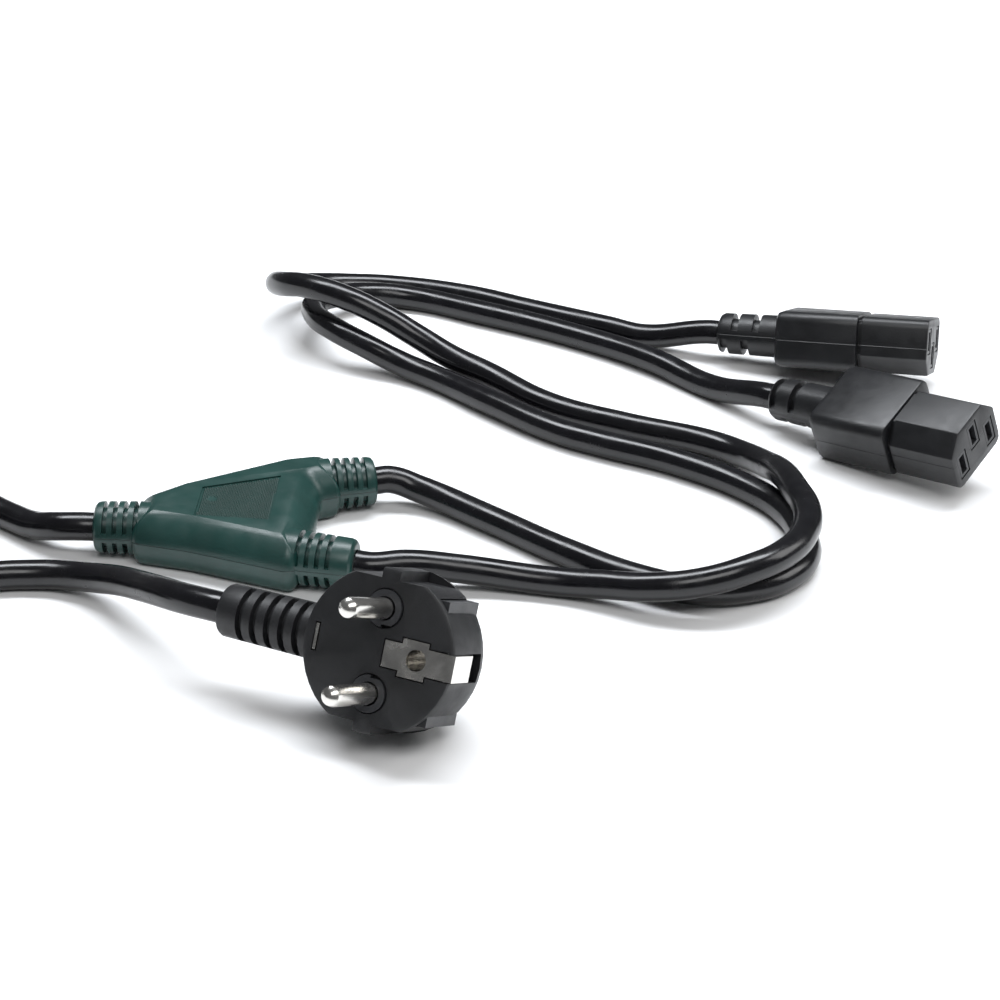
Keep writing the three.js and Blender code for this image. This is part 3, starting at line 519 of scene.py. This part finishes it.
def rounded_outline(corners, inset):
    """Corners of x, y and radius as a rounded outline moved in by inset."""
    arc_steps = 6
    lines = []
    for (x, y, _), (next_x, next_y, _) in zip(corners, corners[1:] + corners[:1]):
        direction = Vector((next_x - x, next_y - y)).normalized()
        inward = Vector((-direction.y, direction.x))
        lines.append((Vector((x, y)) + inward * inset, direction))
    outline = []
    for i, (_, _, radius) in enumerate(corners):
        (before_start, before), (after_start, after) = lines[i - 1], lines[i]
        turn = before.cross(after)
        along = (after_start - before_start).cross(after) / turn
        angle = math.atan2(turn, before.dot(after))
        bend = max(radius - inset, 0.3) if angle > 0 else radius + inset * 0.3
        start = before_start + before * (along - bend * math.tan(abs(angle) / 2))
        center = start + Vector((-before.y, before.x)) * math.copysign(bend, angle)
        for step in range(arc_steps + 1):
            turned = Matrix.Rotation(angle * step / arc_steps, 2) @ (start - center)
            outline.append(center + turned)
    return outline


def add_rings(builder, rings):
    """Quads between rings of points that follow each other, with both ends capped."""
    made = [[builder.verts.new(point) for point in ring] for ring in rings]
    for ring, following in zip(made, made[1:]):
        for i in range(len(ring)):
            builder.faces.new((ring[i - 1], ring[i], following[i], following[i - 1]))
    builder.faces.new(made[0][::-1])
    builder.faces.new(made[-1])


def slot_sector(builder, at, side):
    """A piece of ring over one side of a relief about x, that cuts one slot."""
    spare = math.asin(BAND / 2 / SURFACE_RADIUS)
    steps = AROUND // 2
    section = [(-1, SLOT_FLOOR), (1, SLOT_FLOOR), (1, SLOT_REACH), (-1, SLOT_REACH)]
    rings = []
    for step in range(steps + 1):
        turn = side * (spare + (math.pi - 2 * spare) * step / steps)
        rings.append([
            (at + end * SLOT_WIDTH / 2, reach * math.cos(turn), reach * math.sin(turn))
            for end, reach in section
        ])
    add_rings(builder, rings)


def relief_shell(relief):
    """One strain relief of the Y block, with its slots, in millimetres."""
    (x, y), heading, length, base, end, first = relief
    # Distance from the body and radius: the outside, its rounded end, and the mouth.
    profile = [
        (-RELIEF_ROOT, base), (0, base), (length - RELIEF_ROUND, end),
        (length - 0.7, end - 0.25), (length - 0.2, end - 0.8), (length, end - RELIEF_ROUND),
        (length, MOUTH_RADIUS), (length - MOUTH_DEPTH, CORD_RADIUS),
    ]
    turns = [2 * math.pi * i / AROUND for i in range(AROUND)]
    rings = [
        [(along, radius * math.cos(turn), radius * math.sin(turn)) for turn in turns]
        for along, radius in profile
    ]
    body = bmesh.new()
    add_rings(body, rings)
    tool = bmesh.new()
    for slot in range(SLOT_COUNT):
        for side in (1, -1):
            slot_sector(tool, first + slot * SLOT_PITCH, side)
    place = Matrix.Translation(Vector((x, y, BLOCK_HALF)) + BLOCK_SHIFT)
    return cut_away(body, tool, place @ Matrix.Rotation(math.radians(heading), 4, "Z"), RELIEF_EDGE)


def cut_away(body, tool, place, round_over):
    """The body less the tool, its edges rounded by round_over, as bmesh data in its place."""
    objects = []
    for name, builder in (("body", body), ("tool", tool)):
        bmesh.ops.recalc_face_normals(builder, faces=builder.faces)
        mesh = bpy.data.meshes.new(name)
        builder.to_mesh(mesh)
        builder.free()
        objects.append(bpy.data.objects.new(name, mesh))
        bpy.context.scene.collection.objects.link(objects[-1])
    whole, cutter = objects
    cut = whole.modifiers.new("cut", "BOOLEAN")
    cut.object = cutter
    cut.solver = "EXACT"
    if round_over:
        edges = whole.modifiers.new("edges", "BEVEL")
        edges.width = round_over
        edges.segments = 2
        edges.limit_method = "ANGLE"
        edges.angle_limit = math.radians(50)
    view = bpy.context.evaluated_depsgraph_get()
    result = bmesh.new()
    result.from_mesh(whole.evaluated_get(view).to_mesh())
    for piece in objects:
        bpy.data.objects.remove(piece)
    result.transform(place)
    return result


def add_block():
    """The Y block's outer shell: a lofted body with a recess on top, and three slotted reliefs."""
    steps = [(inset, BLOCK_HALF * (1 - share)) for inset, share in LOWER_EDGE]
    steps += [(inset, BLOCK_HALF * (1 + share)) for inset, share in UPPER_EDGE]
    body = bmesh.new()
    add_rings(body, [
        [(*point, height) for point in rounded_outline(BLOCK_OUTLINE, inset)]
        for inset, height in steps
    ])
    recess = bmesh.new()
    well_above = 20
    add_rings(recess, [
        [(x, y, height) for x, y in KNURL_PATCH]
        for height in (KNURL_BASE, well_above)
    ])
    whole = cut_away(body, recess, Matrix.Translation(BLOCK_SHIFT), 0)
    for relief in (TRUNK_RELIEF, UPPER_RELIEF, LOWER_RELIEF):
        shell = relief_shell(relief)
        mesh = bpy.data.meshes.new("relief")
        shell.to_mesh(mesh)
        shell.free()
        whole.from_mesh(mesh)
        bpy.data.meshes.remove(mesh)
    block = new_piece("y_shell", whole, green)
    smooth_facets(block)
    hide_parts("y_housing")


# Knurled recess: its corners, the grid's pitch and heights, the margin left bare at its edge,
# and a bare round spot of x, y and radius.
KNURL_PATCH = [(-8.6, -13.4), (10.4, -14.6), (10.9, 10.0), (-8.4, 2.2)]
KNURL_PITCH = 0.85
KNURL_TOP = 14.56
KNURL_BASE = 14.2
KNURL_MARGIN = 0.5
KNURL_COLUMNS = range(-24, 30)
KNURL_ROWS = range(-20, 16)
BARE_SPOT = (-5.2, -3.6, 1.3)


def inside_patch(x, y):
    """Whether a pyramid at this place is in the recess and off the bare spot."""
    for (ax, ay), (bx, by) in zip(KNURL_PATCH, KNURL_PATCH[1:] + KNURL_PATCH[:1]):
        edge = Vector((bx - ax, by - ay))
        away = edge.cross(Vector((x - ax, y - ay))) / edge.length
        if away < KNURL_MARGIN:
            return False
    spot_x, spot_y, spot_radius = BARE_SPOT
    return math.hypot(x - spot_x, y - spot_y) > spot_radius


def add_knurl():
    """Small pyramids on a diagonal grid that fill the recess on top of the Y block."""
    builder = bmesh.new()
    half = KNURL_PITCH / 2
    for column in KNURL_COLUMNS:
        for row in KNURL_ROWS:
            x = column * half
            y = row * KNURL_PITCH + (column % 2) * half
            if not inside_patch(x, y):
                continue
            foot = [(x - half, y), (x, y - half), (x + half, y), (x, y + half)]
            low = [builder.verts.new((*corner, KNURL_BASE)) for corner in foot]
            tip = builder.verts.new((x, y, KNURL_TOP))
            for first, second in zip(low, low[1:] + low[:1]):
                builder.faces.new((first, second, tip))
            builder.faces.new(low[::-1])
    builder.transform(Matrix.Translation(BLOCK_SHIFT))
    new_piece("knurl_patch", builder, green)


# Strap round the coil: where it is in degrees, its width and thickness, its gap to the cord,
# its height over the table, and the radius and steps of its four bends.
TIE_ANGLE = 200
TIE_WIDTH = 6
TIE_THICKNESS = 0.2
TIE_GAP = 0.25
TIE_LIFT = 0.12
TIE_BEND = 2.2
TIE_BEND_STEPS = 6


def add_coil_tie():
    """A flat strap round the coil's turns."""
    inner = COIL_INNER - CORD_RADIUS - TIE_GAP
    outer = COIL_OUTER + CORD_RADIUS + TIE_GAP
    low = TIE_LIFT
    high = 2 * CORD_DIAMETER + CORD_OFF_TABLE + 0.3
    bend = TIE_BEND
    corners = [(outer, low, -90), (outer, high, 0), (inner, high, 90), (inner, low, 180)]
    loop = []
    for reach, height, start in corners:
        center_r = reach + (bend if reach == inner else -bend)
        center_z = height + (bend if height == low else -bend)
        for step in range(TIE_BEND_STEPS + 1):
            turn = math.radians(start + 90 * step / TIE_BEND_STEPS)
            loop.append((center_r + bend * math.cos(turn), center_z + bend * math.sin(turn)))
    direction = math.radians(TIE_ANGLE)
    out = Vector((math.cos(direction), math.sin(direction), 0))
    along = Vector((-out.y, out.x, 0))
    builder = bmesh.new()
    across = [TIE_WIDTH * share for share in (-1 / 2, -1 / 6, 1 / 6, 1 / 2)]
    rows = []
    for reach, height in loop:
        middle = COIL_CENTER + out * reach + Vector((0, 0, height))
        rows.append([builder.verts.new(middle + along * side) for side in across])
    for row, following in zip(rows, rows[1:] + rows[:1]):
        for i in range(3):
            builder.faces.new((row[i], row[i + 1], following[i + 1], following[i]))
    tie = new_piece("coil_tie", builder, strap)
    thicken = tie.modifiers.new("thickness", "SOLIDIFY")
    thicken.thickness = TIE_THICKNESS * MM
    thicken.offset = 0
    return tie


add_block()
add_knurl()
coil_tie = add_coil_tie()

declare_cord(
    branch_a, ["branch_a_cord"],
)
declare_cord(
    branch_b, ["branch_b_cord"],
)
declare_cord(
    trunk,
    ["trunk_cord_block_end", "trunk_coil", "trunk_cord_plug_end"],
)
print("cord lengths", [round(centreline_length(piece), 3) for piece in (branch_a, branch_b, trunk)])


# Floor and light

FLOOR_HALF = 4


def add_floor():
    """A plain pale table that isn't part of the object."""
    mesh = bpy.data.meshes.new("floor")
    builder = bmesh.new()
    bmesh.ops.create_grid(builder, x_segments=1, y_segments=1, size=FLOOR_HALF)
    builder.to_mesh(mesh)
    builder.free()
    floor = bpy.data.objects.new("floor", mesh)
    bpy.context.scene.collection.objects.link(floor)
    material, _, shader = new_material("paper", (0.92, 0.92, 0.92), 0.9)
    shader.inputs["Specular IOR Level"].default_value = 0.1
    mesh.materials.append(material)


def add_softbox(name, place, target, width, depth, power, color=(1, 1, 1)):
    """A rectangular lamp, its sizes in metres and its power in watts, turned to the target."""
    data = bpy.data.lights.new(name, "AREA")
    data.shape = "RECTANGLE"
    data.size = width
    data.size_y = depth
    data.energy = power
    data.color = color
    lamp = bpy.data.objects.new(name, data)
    lamp.location = place
    lamp.rotation_euler = (Vector(target) - Vector(place)).to_track_quat("-Z", "Y").to_euler()
    bpy.context.scene.collection.objects.link(lamp)


add_floor()
add_softbox("overhead", (0.05, 0.3, 0.9), (0.05, 0.05, 0), 1.2, 0.3, 15, (0.93, 0.96, 1))
add_softbox("front_fill", (0.3, -0.9, 1.3), (0.05, 0.0, 0), 1.4, 0.6, 11)
add_softbox("right_fill", (1.1, 0.2, 0.7), (0.05, 0.0, 0), 0.6, 0.6, 4)

world = bpy.data.worlds.new("studio")
world.use_nodes = True
sky = world.node_tree.nodes["Background"]
sky.inputs["Color"].default_value = (0.95, 0.97, 1, 1)
sky.inputs["Strength"].default_value = 0.12
bpy.context.scene.world = world
bpy.context.scene.view_settings.view_transform = "Standard"
